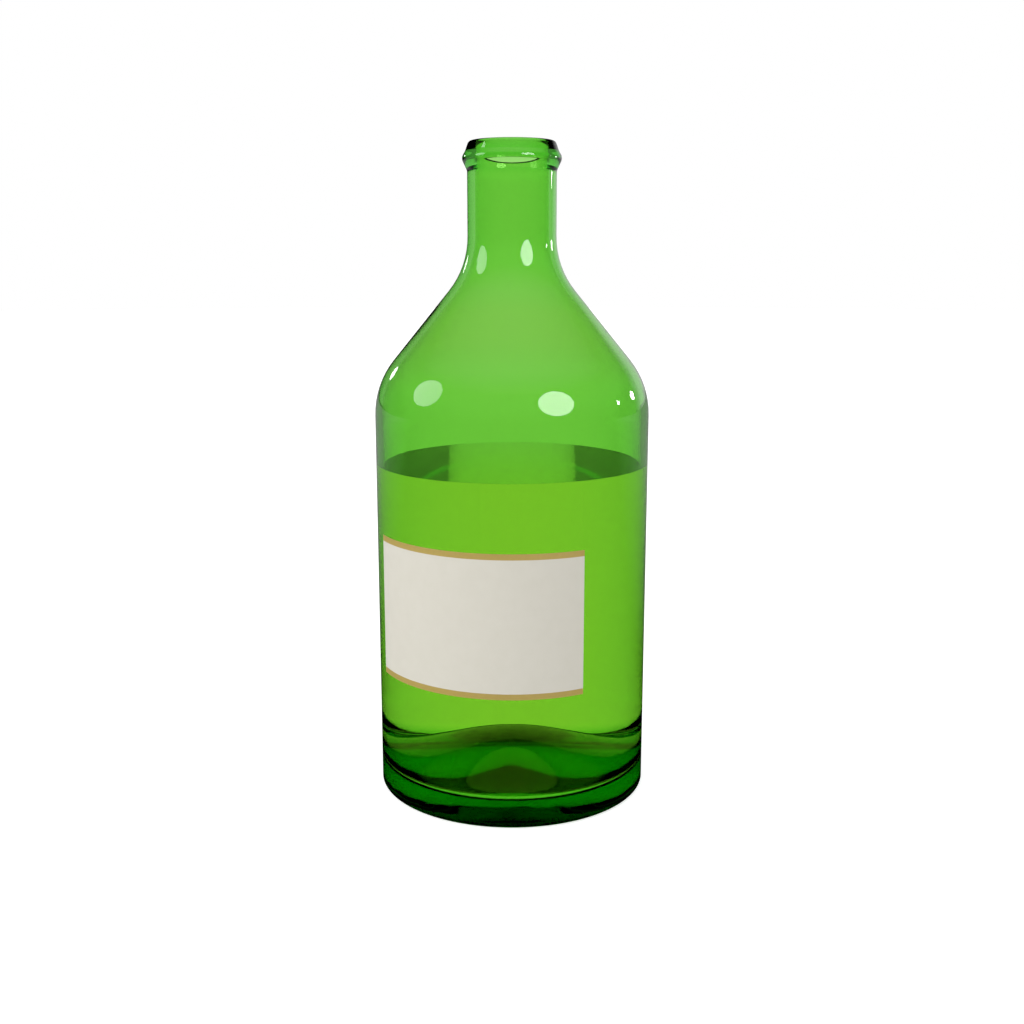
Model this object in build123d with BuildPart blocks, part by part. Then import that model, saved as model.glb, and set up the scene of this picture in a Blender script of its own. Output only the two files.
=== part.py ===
from build123d import *
import math
import os

# A round, stubby wine bottle of thick green glass, a little over half full of white wine,
# with a paper label round its front. Millimetres, +Z up. The origin is the centre of the
# circle that the bottle stands on, and the label faces -Y.

# ---- Outside of the glass: corners are given before their fillets ----
body_radius = 44.0
body_height = 133.3  # foot to the corner between body and shoulder
shoulder_rise = 36.7  # that corner to the corner between shoulder and neck
neck_length = 38.4  # that corner to the top of the lip
neck_radius = 14.0
heel_fillet = 1.3
shoulder_fillet = 27.3
neck_fillet = 26.6

# ---- Ring and lip, measured down from the top and out from the neck ----
ring_foot_drop = 9.0
ring_drop = 5.2
ring_out = 1.8
waist_drop = 3.1
waist_out = 0.6
lip_in = 0.5
ring_foot_fillet = 2.0
ring_fillet = 2.2
waist_fillet = 2.0
lip_fillet = 1.4
mouth_fillet = 0.8

# ---- Inside of the glass ----
wall = 2.2  # body and shoulder
neck_wall = 2.4
floor_height = 8.0  # foot to the gutter round the inside of the base
gutter_fillet = 3.5
gutter_flat = 0.1

# ---- Punt: the hollow under the base, and the mound that it makes inside ----
# Each is bell shaped, level at its crown and at its foot, and a reach says how far
# it stays near level there.
bearing_width = 1.1  # flat ring that the bottle stands on, round the punt
punt_height = 11.5
punt_crown_reach = 0.25  # of the punt's radius
punt_foot_reach = 0.14
crown_glass = 9.5  # glass between the top of the punt and the top of the mound
mound_crown_reach = 0.4  # of the mound's radius
mound_foot_reach = 0.225

# ---- Contents and label ----
fill_height = 108.0  # foot to the surface of the wine
label_width = 74.1  # along the curve
label_height = 45.3
label_foot = 41.9
label_thickness = 0.15

# ---- Worked out ----
shoulder_top = body_height + shoulder_rise
bottle_height = shoulder_top + neck_length
shoulder_slope = math.atan2(body_radius - neck_radius, shoulder_rise)  # from the axis
ring_radius = neck_radius + ring_out
waist_radius = neck_radius + waist_out
lip_radius = neck_radius - lip_in
bore_radius = neck_radius - neck_wall
inner_radius = body_radius - wall
inner_body_height = body_height - wall * math.tan(shoulder_slope / 2)
inner_shoulder_top = inner_body_height + (inner_radius - bore_radius) / math.tan(shoulder_slope)
punt_radius = body_radius - heel_fillet - bearing_width
mound_radius = inner_radius - gutter_fillet - gutter_flat
mound_height = punt_height + crown_glass
label_arc = math.degrees(label_width / body_radius)


def bell_curve(crown, foot, radius, crown_reach, foot_reach):
    """Half of a bell's outline, from its crown on the axis to its foot at the radius."""
    Bezier(
        (0, crown),
        (crown_reach * radius, crown),
        (radius - foot_reach * radius, foot),
        (radius, foot),
    )


# The hollow inside the glass, up to the mouth. It is cut out of the bottle and shapes the wine.
with BuildPart() as hollow:
    with BuildSketch(Plane.XZ):
        with BuildLine():
            bell_curve(mound_height, floor_height, mound_radius, mound_crown_reach, mound_foot_reach)
            FilletPolyline(
                (mound_radius, floor_height),
                (inner_radius, floor_height),
                (inner_radius, inner_body_height),
                (bore_radius, inner_shoulder_top),
                (bore_radius, bottle_height),
                radius=(gutter_fillet, shoulder_fillet - wall, neck_fillet + wall),
            )
            Line((bore_radius, bottle_height), (0, bottle_height))
            Line((0, bottle_height), (0, mound_height))
        make_face()
    revolve(axis=Axis.Z)


with BuildPart() as bottle:
    with BuildSketch(Plane.XZ):
        with BuildLine():
            FilletPolyline(
                (0, 0),
                (body_radius, 0),
                (body_radius, body_height),
                (neck_radius, shoulder_top),
                (neck_radius, bottle_height - ring_foot_drop),
                (ring_radius, bottle_height - ring_drop),
                (waist_radius, bottle_height - waist_drop),
                (lip_radius, bottle_height),
                (0, bottle_height),
                radius=(
                    heel_fillet,
                    shoulder_fillet,
                    neck_fillet,
                    ring_foot_fillet,
                    ring_fillet,
                    waist_fillet,
                    lip_fillet,
                ),
            )
            Line((0, bottle_height), (0, 0))
        make_face()
    revolve(axis=Axis.Z)
    add(hollow.part, mode=Mode.SUBTRACT)
    with BuildSketch(Plane.XZ):
        with BuildLine():
            bell_curve(punt_height, 0, punt_radius, punt_crown_reach, punt_foot_reach)
            Line((punt_radius, 0), (0, 0))
            Line((0, 0), (0, punt_height))
        make_face()
    revolve(axis=Axis.Z, mode=Mode.SUBTRACT)
    mouth = bottle.edges().filter_by(GeomType.CIRCLE).filter_by_position(Axis.Z, bottle_height, bottle_height)
    fillet(mouth.sort_by(SortBy.RADIUS)[0], radius=mouth_fillet)


with BuildPart() as wine:
    add(hollow.part)
    split(bisect_by=Plane.XY.offset(fill_height), keep=Keep.BOTTOM)


with BuildPart() as label:
    with BuildSketch(Plane.XZ.rotated((0, 0, -90 - label_arc / 2))):
        with Locations((body_radius, label_foot)):
            Rectangle(label_thickness, label_height, align=(Align.MIN, Align.MIN))
    revolve(axis=Axis.Z, revolution_arc=label_arc)


pieces = {"bottle": bottle, "wine": wine, "label": label}
os.makedirs("parts", exist_ok=True)
for name, piece in pieces.items():
    piece.part.label = name
    export_step(piece.part, f"parts/{name}.step")
    box = piece.part.bounding_box()
    print(f"{name}: {piece.part.volume / 1000:.1f} ml, z {box.min.Z:.2f} to {box.max.Z:.2f}")
print(f"brimful capacity {hollow.part.volume / 1000:.0f} ml")
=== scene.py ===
"""A stubby green bottle with a cream label, filled with white wine to just over half its height."""
import math

import bmesh
import bpy
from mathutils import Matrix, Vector
from mathutils.geometry import interpolate_bezier


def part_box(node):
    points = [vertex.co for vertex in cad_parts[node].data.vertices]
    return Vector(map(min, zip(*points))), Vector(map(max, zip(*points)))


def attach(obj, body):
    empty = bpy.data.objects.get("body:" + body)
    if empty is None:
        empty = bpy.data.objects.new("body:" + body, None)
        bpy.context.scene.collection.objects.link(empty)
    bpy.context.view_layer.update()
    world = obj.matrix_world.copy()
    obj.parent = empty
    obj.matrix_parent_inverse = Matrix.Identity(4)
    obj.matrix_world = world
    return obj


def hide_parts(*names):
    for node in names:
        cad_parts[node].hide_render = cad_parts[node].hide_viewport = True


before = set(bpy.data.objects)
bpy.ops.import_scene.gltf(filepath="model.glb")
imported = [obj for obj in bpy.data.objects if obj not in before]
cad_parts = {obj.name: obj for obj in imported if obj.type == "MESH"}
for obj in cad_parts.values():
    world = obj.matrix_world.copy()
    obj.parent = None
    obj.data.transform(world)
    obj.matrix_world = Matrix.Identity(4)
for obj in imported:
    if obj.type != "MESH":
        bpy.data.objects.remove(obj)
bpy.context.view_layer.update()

# ---- Places from the frame, in metres ----
_, glass_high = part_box("bottle")
wine_low, wine_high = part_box("wine")
label_low, label_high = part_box("label")

mm = 0.001
body_radius = glass_high.x
rim_height = glass_high.z
inner_radius = wine_high.x
fill_height = wine_high.z
floor_height = wine_low.z
wall = body_radius - inner_radius

# ---- Outside of the glass: corners before their fillets ----
neck_radius = 14.0 * mm
neck_foot = rim_height - 38.4 * mm
shoulder_height = neck_foot - 36.7 * mm
heel_fillet = 1.3 * mm
shoulder_fillet = 27.3 * mm
neck_fillet = 26.6 * mm

# ---- Ring and lip ----
ring_foot = rim_height - 9.0 * mm
ring_height = rim_height - 5.2 * mm
ring_radius = 15.8 * mm
waist_height = rim_height - 3.1 * mm
waist_radius = 14.6 * mm
lip_radius = 13.5 * mm
ring_foot_fillet = 2.0 * mm
ring_fillet = 2.2 * mm
waist_fillet = 2.0 * mm
lip_fillet = 1.4 * mm
mouth_fillet = 0.8 * mm

# ---- Inside of the glass: the gutter runs round the foot of the mound ----
bore_radius = 11.6 * mm
gutter_fillet = 3.5 * mm
gutter_width = 3.6 * mm
mound_radius = inner_radius - gutter_width
mound_height = 21.0 * mm
mound_crown_reach = 0.4 * mound_radius
mound_foot_reach = 0.225 * mound_radius

# ---- Punt: the hollow under the base ----
punt_radius = 41.6 * mm
punt_height = 11.5 * mm
punt_crown_reach = 0.25 * punt_radius
punt_foot_reach = 0.14 * punt_radius

# ---- Worked out ----
shoulder_slope = math.atan2(body_radius - neck_radius, neck_foot - shoulder_height)
inner_shoulder_height = shoulder_height - wall * math.tan(shoulder_slope / 2)
inner_neck_foot = inner_shoulder_height + (inner_radius - bore_radius) / math.tan(shoulder_slope)

# ---- Camera's side ----
camera_azimuth = math.radians(18.75)


def turned(azimuth, radius, height):
    """A place round the bottle; the azimuth is in radians from the camera, to the right."""
    angle = camera_azimuth + azimuth
    return Vector((radius * math.sin(angle), -radius * math.cos(angle), height))


# ---- Meshes ----
arc_step = math.radians(5)
bell_points = 49
round_steps = 192
merge_distance = 0.002 * mm
sharp_angle = math.radians(30)


def run_to(bm, end, spot):
    """Draws a straight edge from the last vertex of the outline."""
    new = bmesh.ops.extrude_vert_indiv(bm, verts=[end])["verts"][0]
    new.co = spot
    return new


def follow_corners(bm, end, corners):
    """Goes on through corners (radius, height, fillet) by straight runs and tangent arcs."""
    spots = [end.co.copy()] + [Vector((radius, 0, height)) for radius, height, _ in corners]
    for index, (_, _, fillet) in enumerate(corners[:-1], start=1):
        back = (spots[index - 1] - spots[index]).normalized()
        ahead = (spots[index + 1] - spots[index]).normalized()
        half_corner = back.angle(ahead) / 2
        turn = math.pi - 2 * half_corner
        end = run_to(bm, end, spots[index] + back * (fillet / math.tan(half_corner)))
        arc = bmesh.ops.spin(
            bm,
            geom=[end],
            cent=spots[index] + (back + ahead).normalized() * (fillet / math.sin(half_corner)),
            axis=ahead.cross(back).normalized(),
            angle=turn,
            steps=max(3, math.ceil(turn / arc_step)),
        )
        end = arc["geom_last"][0]
    return run_to(bm, end, spots[-1])


def follow_bell(bm, end, reach, spot, spot_reach):
    """Goes on by a smooth curve that is level at both of its ends."""
    start = end.co.copy()
    onward = Vector((math.copysign(1, spot.x - start.x), 0, 0))
    handles = (start + onward * reach, spot - onward * spot_reach)
    for place in interpolate_bezier(start, *handles, spot, bell_points)[1:]:
        end = run_to(bm, end, place)
    return end


def turn_on_axis(bm):
    """Turns the outline into a closed round shape."""
    bmesh.ops.spin(
        bm,
        geom=bm.verts[:] + bm.edges[:],
        cent=(0, 0, 0),
        axis=(0, 0, 1),
        angle=math.tau,
        steps=round_steps,
        use_merge=True,
    )
    bmesh.ops.remove_doubles(bm, verts=bm.verts, dist=merge_distance)
    bmesh.ops.recalc_face_normals(bm, faces=bm.faces)


def finish_mesh(bm, name):
    """Shades the mesh smooth, with its real edges left sharp, and puts it in the scene."""
    for face in bm.faces:
        face.smooth = True
    for edge in bm.edges:
        edge.smooth = edge.calc_face_angle(0) < sharp_angle
    mesh = bpy.data.meshes.new(name)
    bm.to_mesh(mesh)
    bm.free()
    piece = bpy.data.objects.new(name, mesh)
    bpy.context.scene.collection.objects.link(piece)
    return piece


outer_corners = [
    (body_radius, 0, heel_fillet),
    (body_radius, shoulder_height, shoulder_fillet),
    (neck_radius, neck_foot, neck_fillet),
    (neck_radius, ring_foot, ring_foot_fillet),
    (ring_radius, ring_height, ring_fillet),
    (waist_radius, waist_height, waist_fillet),
    (lip_radius, rim_height, lip_fillet),
    (bore_radius, rim_height, mouth_fillet),
]
hollow_corners = [
    (bore_radius, inner_neck_foot, neck_fillet + wall),
    (inner_radius, inner_shoulder_height, shoulder_fillet - wall),
    (inner_radius, floor_height, gutter_fillet),
    (mound_radius, floor_height, 0),
]
mound_top = Vector((0, 0, mound_height))


def cut_level(bm, height, clear=False):
    """Cuts the mesh level, and takes off what is above the cut if asked."""
    bmesh.ops.bisect_plane(
        bm,
        geom=bm.verts[:] + bm.edges[:] + bm.faces[:],
        plane_co=(0, 0, height),
        plane_no=(0, 0, 1),
        clear_outer=clear,
    )


def make_glass():
    """The bottle, with the inside that the wine wets marked on its faces."""
    bm = bmesh.new()
    end = bm.verts.new((0, 0, punt_height))
    end = follow_bell(bm, end, punt_crown_reach, Vector((punt_radius, 0, 0)), punt_foot_reach)
    end = follow_corners(bm, end, outer_corners + hollow_corners)
    follow_bell(bm, end, mound_foot_reach, mound_top, mound_crown_reach)
    turn_on_axis(bm)
    cut_level(bm, fill_height)
    wetted = bm.faces.layers.float.new("wetted")
    for face in bm.faces:
        middle = face.calc_center_median()
        inward = Vector((-middle.x, -middle.y, middle.xy.length))
        face[wetted] = float(middle.z < fill_height and face.normal.dot(inward) > 0)
    return finish_mesh(bm, "green_glass_bottle")


into_wall = 0.3 * mm


def make_wine():
    """The hollow of the bottle, let a little way into the glass and cut level at the fill."""
    bm = bmesh.new()
    end = follow_corners(bm, bm.verts.new((bore_radius, 0, rim_height)), hollow_corners)
    follow_bell(bm, end, mound_foot_reach, mound_top, mound_crown_reach)
    turn_on_axis(bm)
    bm.normal_update()
    facing = sum(face.normal.xy.dot(face.calc_center_median().xy) for face in bm.faces)
    outward = math.copysign(1, facing)
    for vert in bm.verts:
        vert.co += vert.normal * into_wall * outward
    cut_level(bm, fill_height, clear=True)
    rim = [edge for edge in bm.edges if edge.is_boundary]
    bmesh.ops.holes_fill(bm, edges=rim, sides=0)
    bmesh.ops.recalc_face_normals(bm, faces=bm.faces)
    return finish_mesh(bm, "white_wine")


gold_width = 1.85 * mm
label_gap = 0.02 * mm
paper_thickness = 0.15 * mm
label_half_arc = math.asin(label_high.x / (body_radius + paper_thickness))
label_steps = 96


def make_label():
    """A strip of paper round the front of the body, with a gold line along its top and its foot."""
    bm = bmesh.new()
    radius = body_radius + label_gap
    heights = [label_low.z, label_low.z + gold_width, label_high.z - gold_width, label_high.z]
    start = Vector((-radius * math.sin(label_half_arc), -radius * math.cos(label_half_arc), 0))
    end = bm.verts.new(start + Vector((0, 0, heights[0])))
    for height in heights[1:]:
        end = run_to(bm, end, start + Vector((0, 0, height)))
    bmesh.ops.spin(
        bm,
        geom=bm.verts[:] + bm.edges[:],
        cent=(0, 0, 0),
        axis=(0, 0, 1),
        angle=2 * label_half_arc,
        steps=label_steps,
    )
    for face in bm.faces:
        middle = face.calc_center_median().z
        face.material_index = 0 if heights[1] < middle < heights[2] else 1
        if face.normal.dot(face.calc_center_median() * Vector((1, 1, 0))) < 0:
            face.normal_flip()
    bmesh.ops.solidify(bm, geom=bm.faces[:], thickness=-paper_thickness)
    bmesh.ops.recalc_face_normals(bm, faces=bm.faces)
    return finish_mesh(bm, "cream_label")


# ---- Materials ----
class Value:
    """A socket's output, for sums written as Python."""

    def __init__(self, nodes, socket):
        self.nodes = nodes
        self.socket = socket

    def maths(self, operation, *others):
        values = dict(enumerate((self,) + others))
        return self.nodes.add("ShaderNodeMath", {"operation": operation}, values)

    def __add__(self, other):
        return self.maths("ADD", other)

    def __radd__(self, other):
        return self.maths("ADD", other)

    def __mul__(self, other):
        return self.maths("MULTIPLY", other)

    def __rmul__(self, other):
        return self.maths("MULTIPLY", other)

    def __rsub__(self, other):
        return self.nodes.add("ShaderNodeMath", {"operation": "SUBTRACT"}, {0: other, 1: self})


class Nodes:
    """The node tree of a material or of the world."""

    def __init__(self, owner):
        owner.use_nodes = True
        self.tree = owner.node_tree
        self.tree.nodes.clear()

    def add(self, kind, settings, inputs, output=0):
        """Adds a node, sets it up, then gives its inputs values or links."""
        node = self.tree.nodes.new(kind)
        for name, setting in settings.items():
            setattr(node, name, setting)
        for key, value in inputs.items():
            if isinstance(value, Value):
                self.tree.links.new(value.socket, node.inputs[key])
            else:
                node.inputs[key].default_value = value
        return Value(self, node.outputs[output])

    def place(self):
        return self.add("ShaderNodeTexCoord", {}, {}, "Object")

    def noise(self, scale, detail, stretch=(1, 1, 1)):
        """Soft noise from 0 to 1, with a scale in blobs per metre."""
        inputs = {"Vector": self.place(), "Scale": stretch}
        spot = self.add("ShaderNodeMapping", {"vector_type": "POINT"}, inputs)
        inputs = {"Vector": spot, "Scale": scale, "Detail": detail}
        return self.add("ShaderNodeTexNoise", {}, inputs)

    def blend(self, factor, first, second):
        """Goes from one colour to another: each is another blend, or its red, green and blue."""
        inputs = {0: factor}
        for key, colour in {6: first, 7: second}.items():
            inputs[key] = colour if isinstance(colour, Value) else (*colour, 1)
        return self.add("ShaderNodeMix", {"data_type": "RGBA"}, inputs, 2)

    def bump(self, height, distance):
        return self.add("ShaderNodeBump", {}, {"Height": height, "Distance": distance})

    def principled(self, inputs):
        return self.add("ShaderNodeBsdfPrincipled", {}, inputs)

    def finish(self, shader, volume=None, kind="ShaderNodeOutputMaterial"):
        """Links the shader, and the volume if there is one, to the output."""
        output = self.tree.nodes.new(kind)
        self.tree.links.new(shader.socket, output.inputs["Surface"])
        if volume:
            self.tree.links.new(volume.socket, output.inputs["Volume"])


def rise(nodes, value, start, end, top=1.0):
    """Goes from 0 at the start to the top value at the end, and stays there."""
    inputs = {"Value": value, "From Min": start, "From Max": end, "To Min": 0.0, "To Max": top}
    return nodes.add("ShaderNodeMapRange", {"clamp": True}, inputs)


def absorption(nodes, per_metre):
    """Takes red, green and blue out of the light on its way through, each by its own rate."""
    most = max(per_metre)
    colour = [1 - rate / most for rate in per_metre] + [1]
    return nodes.add("ShaderNodeVolumeAbsorption", {}, {"Color": colour, "Density": most})


white = (1, 1, 1, 1)

# Each colour is red, green and blue. The two of a pair are mixed by a soft noise.
dry_tints = (0.568, 0.847, 0.297), (0.588, 0.861, 0.313)
wet_tints = (0.734, 0.860, 0.305), (0.754, 0.874, 0.315)
# The shoulder's tint is a painted reflection of the light from above.
painted_sheen_tint = (0.650, 0.838, 0.315)
glass_absorption = (160, 34, 150)
wine_absorption = (0.01, 0.2, 8.0)
paper_colours = (0.74, 0.71, 0.615), (0.78, 0.75, 0.66)
gold_colours = (0.58, 0.425, 0.11), (0.64, 0.475, 0.13)

# Going up, a painted reflection of the light from above makes the glass of the shoulder paler and
# yellower: it comes in between the first heights, and goes again between the second.
sheen_rise_heights = 0.131, 0.147
sheen_fall_heights = 0.156, 0.171

wave_height = 0.03 * mm
fibre_height = 0.02 * mm
foil_height = 0.01 * mm


def green_glass():
    """Glass that tints a little at its face, and deepens with thickness.

    The tint is less where wine wets it, and paler and yellower round the shoulder, where a
    reflection of the light from above is painted in.
    """
    material = bpy.data.materials.new("green_glass")
    nodes = Nodes(material)
    streaks = nodes.noise(90, 1.0, (1, 1, 0.25))
    wetted = nodes.add("ShaderNodeAttribute", {"attribute_name": "wetted"}, {}, "Fac")
    height = nodes.add("ShaderNodeSeparateXYZ", {}, {0: nodes.place()}, "Z")
    # Painted reflection: a paler, yellower band round the shoulder.
    shoulder_sheen = rise(nodes, height, *sheen_rise_heights) * (1 - rise(nodes, height, *sheen_fall_heights))
    dry = nodes.blend(shoulder_sheen, nodes.blend(streaks, *dry_tints), painted_sheen_tint)
    wet = nodes.blend(streaks, *wet_tints)
    waves = nodes.noise(45, 0.0, (1, 1, 0.4)) + 0.7 * nodes.noise(170, 0.0)
    shader = nodes.principled({
        "Base Color": nodes.blend(wetted, dry, wet),
        "Normal": nodes.bump(waves, wave_height),
        "Roughness": 0.0,
        "IOR": 1.5,
        "Transmission Weight": 1.0,
    })
    nodes.finish(shader, absorption(nodes, glass_absorption))
    return material


def white_wine():
    """Clear liquid that takes a little blue out of the light."""
    material = bpy.data.materials.new("white_wine")
    nodes = Nodes(material)
    shader = nodes.principled({
        "Base Color": white,
        "Roughness": 0.0,
        "IOR": 1.33,
        "Transmission Weight": 1.0,
    })
    nodes.finish(shader, absorption(nodes, wine_absorption))
    return material


def label_paper():
    """Cream paper, softly mottled, with fine fibres along the label."""
    material = bpy.data.materials.new("label_paper")
    nodes = Nodes(material)
    mottle = nodes.noise(260, 3.0)
    fibres = nodes.noise(2400, 3.0, (1, 1, 0.5))
    shader = nodes.principled({
        "Base Color": nodes.blend(mottle, *paper_colours),
        "Roughness": 0.62 + 0.15 * fibres,
        "Normal": nodes.bump(fibres, fibre_height),
        "IOR": 1.45,
    })
    nodes.finish(shader)
    return material


def gold_foil():
    """Dull gold print, uneven in its shine."""
    material = bpy.data.materials.new("gold_foil")
    nodes = Nodes(material)
    dull = nodes.noise(900, 2.0)
    shader = nodes.principled({
        "Base Color": nodes.blend(dull, *gold_colours),
        "Metallic": 0.2,
        "Roughness": 0.42 + 0.12 * dull,
        "Normal": nodes.bump(dull, foil_height),
    })
    nodes.finish(shader)
    return material


# ---- The object ----
glass = make_glass()
glass.data.materials.append(green_glass())
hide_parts("bottle")
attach(glass, "root")

wine = make_wine()
wine.data.materials.append(white_wine())
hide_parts("wine")
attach(wine, "root")

label = make_label()
label.data.materials.append(label_paper())
label.data.materials.append(gold_foil())
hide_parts("label")
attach(label, "root")


# ---- Floor, world and lamps ----
# What reflections inside the glass and off its outside show of the floor and the world. Each row
# is the level that the light rises to, and where the rise starts and ends. On the floor that is in
# metres behind the bottle. In the world it is from 0, at right angles, to 1, straight that way.
floor_seen_inside = 0.4, 0.1, 0.2
floor_seen_outside = 0.3, 0.1, 0.6
back_seen_inside = 0.85, 0.3, 0.6
sky_seen_inside = 1.0, 0.05, 0.4
back_seen_outside = 0.4, 0.9, 0.98
side_seen_outside = 0.7, 0.9, 0.98
sky_seen_outside = 0.7, 0.6, 1.0

floor_radius = 4.0
floor_colour = (0.8, 0.8, 0.8, 1)
floor_glow = 0.62
shade_on_matt = 0.2

lamp_distance = 1.0
lamp_target = Vector((0, 0, 0.13))


def light_path(nodes, question):
    return nodes.add("ShaderNodeLightPath", {}, {}, question)


def towards(nodes, vector, azimuth):
    """How far a place or a direction lies towards an azimuth, in degrees from the camera's side."""
    inputs = {0: vector, 1: turned(math.radians(azimuth), 1, 0)}
    return nodes.add("ShaderNodeVectorMath", {"operation": "DOT_PRODUCT"}, inputs, "Value")


def rise_to(nodes, value, row):
    top, start, end = row
    return rise(nodes, value, start, end, top)


def glow(nodes, strength):
    return nodes.add("ShaderNodeEmission", {}, {"Color": white, "Strength": strength})


def mix(nodes, factor, first, second):
    """Mixes two shaders."""
    return nodes.add("ShaderNodeMixShader", {}, {0: factor, 1: first, 2: second})


def sorted_light(nodes, plain, inside, outside):
    """Sorts shaders: seen plainly, by a reflection inside the bottle, or by one off its outside."""
    reflected = light_path(nodes, "Glossy Depth").maths("MINIMUM", 1)
    through = light_path(nodes, "Is Transmission Ray")
    return mix(nodes, reflected, plain, mix(nodes, through, outside, inside))


def make_floor():
    """Plain and pale. In reflections it is dark up to the bottle's foot and pale further back."""
    bm = bmesh.new()
    bmesh.ops.create_circle(bm, cap_ends=True, segments=96, radius=floor_radius)
    floor = finish_mesh(bm, "floor")
    material = bpy.data.materials.new("pale_floor")
    nodes = Nodes(material)
    back = towards(nodes, nodes.place(), 180)
    matt = nodes.add("ShaderNodeBsdfDiffuse", {}, {"Color": floor_colour})
    lit = nodes.add("ShaderNodeAddShader", {}, {0: matt, 1: glow(nodes, floor_glow)})
    seen = mix(nodes, light_path(nodes, "Is Camera Ray"), matt, lit)
    seen = mix(nodes, light_path(nodes, "Is Transmission Ray"), seen, glow(nodes, 1.0))
    inside = glow(nodes, rise_to(nodes, back, floor_seen_inside))
    outside = glow(nodes, rise_to(nodes, back, floor_seen_outside))
    nodes.finish(sorted_light(nodes, seen, inside, outside))
    floor.data.materials.append(material)


def make_world():
    """White all round, but in reflections dark, apart from its back and its top."""
    world = bpy.data.worlds.new("studio")
    bpy.context.scene.world = world
    nodes = Nodes(world)
    direction = nodes.add("ShaderNodeTexCoord", {}, {}, "Generated")
    upward = nodes.add("ShaderNodeSeparateXYZ", {}, {0: direction}, "Z")
    straight_back = towards(nodes, direction, 180)
    near_back = towards(nodes, direction, 165)
    beside_back = towards(nodes, direction, 150)
    outside = rise_to(nodes, near_back, back_seen_outside)
    outside = outside.maths("MAXIMUM", rise_to(nodes, beside_back, side_seen_outside))
    outside = outside.maths("MAXIMUM", rise_to(nodes, upward, sky_seen_outside))
    inside = rise_to(nodes, straight_back, back_seen_inside)
    inside = inside.maths("MAXIMUM", rise_to(nodes, upward, sky_seen_inside))
    plain = 1 - shade_on_matt * light_path(nodes, "Is Diffuse Ray")
    shades = [
        nodes.add("ShaderNodeBackground", {}, {"Color": white, "Strength": level})
        for level in (plain, inside, outside)
    ]
    nodes.finish(sorted_light(nodes, *shades), kind="ShaderNodeOutputWorld")


def make_lamp(name, azimuth, elevation, radius, radiance, in_gloss):
    """A round lamp, seen only in gloss or only by matt surfaces.

    Its azimuth is from the camera's side, to the right, in degrees.
    """
    azimuth, elevation = math.radians(azimuth), math.radians(elevation)
    across = lamp_distance * math.cos(elevation)
    place = turned(azimuth, across, lamp_distance * math.sin(elevation))
    light = bpy.data.lights.new(name, "AREA")
    light.shape = "DISK"
    light.size = 2 * radius
    light.energy = radiance * math.pi * math.pi * radius**2
    lamp = bpy.data.objects.new(name, light)
    lamp.location = lamp_target + place
    lamp.rotation_euler = place.to_track_quat("Z", "Y").to_euler()
    lamp.visible_glossy = in_gloss
    lamp.visible_diffuse = not in_gloss
    lamp.visible_transmission = False
    bpy.context.scene.collection.objects.link(lamp)


camera_distance = 401.896 * mm
camera_height = 173.096 * mm
camera_tilt = 0.2016
sensor_width = 36
focal_length = 43.86
nearest_seen = 0.01


def make_camera():
    data = bpy.data.cameras.new("camera")
    data.sensor_width = sensor_width
    data.lens = focal_length
    data.clip_start = nearest_seen
    camera = bpy.data.objects.new("camera", data)
    camera.location = turned(0, camera_distance, camera_height)
    camera.rotation_euler = (math.pi / 2 - camera_tilt, 0, camera_azimuth)
    bpy.context.scene.collection.objects.link(camera)
    bpy.context.scene.camera = camera


make_floor()
make_world()
make_lamp("window_lamp", 38, 24, 0.26, 9.6, True)
make_lamp("side_lamp", -81, 26, 0.24, 4.5, True)
make_lamp("small_lamp", 122, 9, 0.05, 20, True)
make_lamp("spark_lamp", 99, 11, 0.03, 22, True)
make_lamp("edge_lamp", -141, 14, 0.06, 6, True)
make_lamp("fill_lamp", -60, 25, 0.4, 1.65, False)
make_camera()
bpy.context.scene.view_settings.view_transform = "Standard"
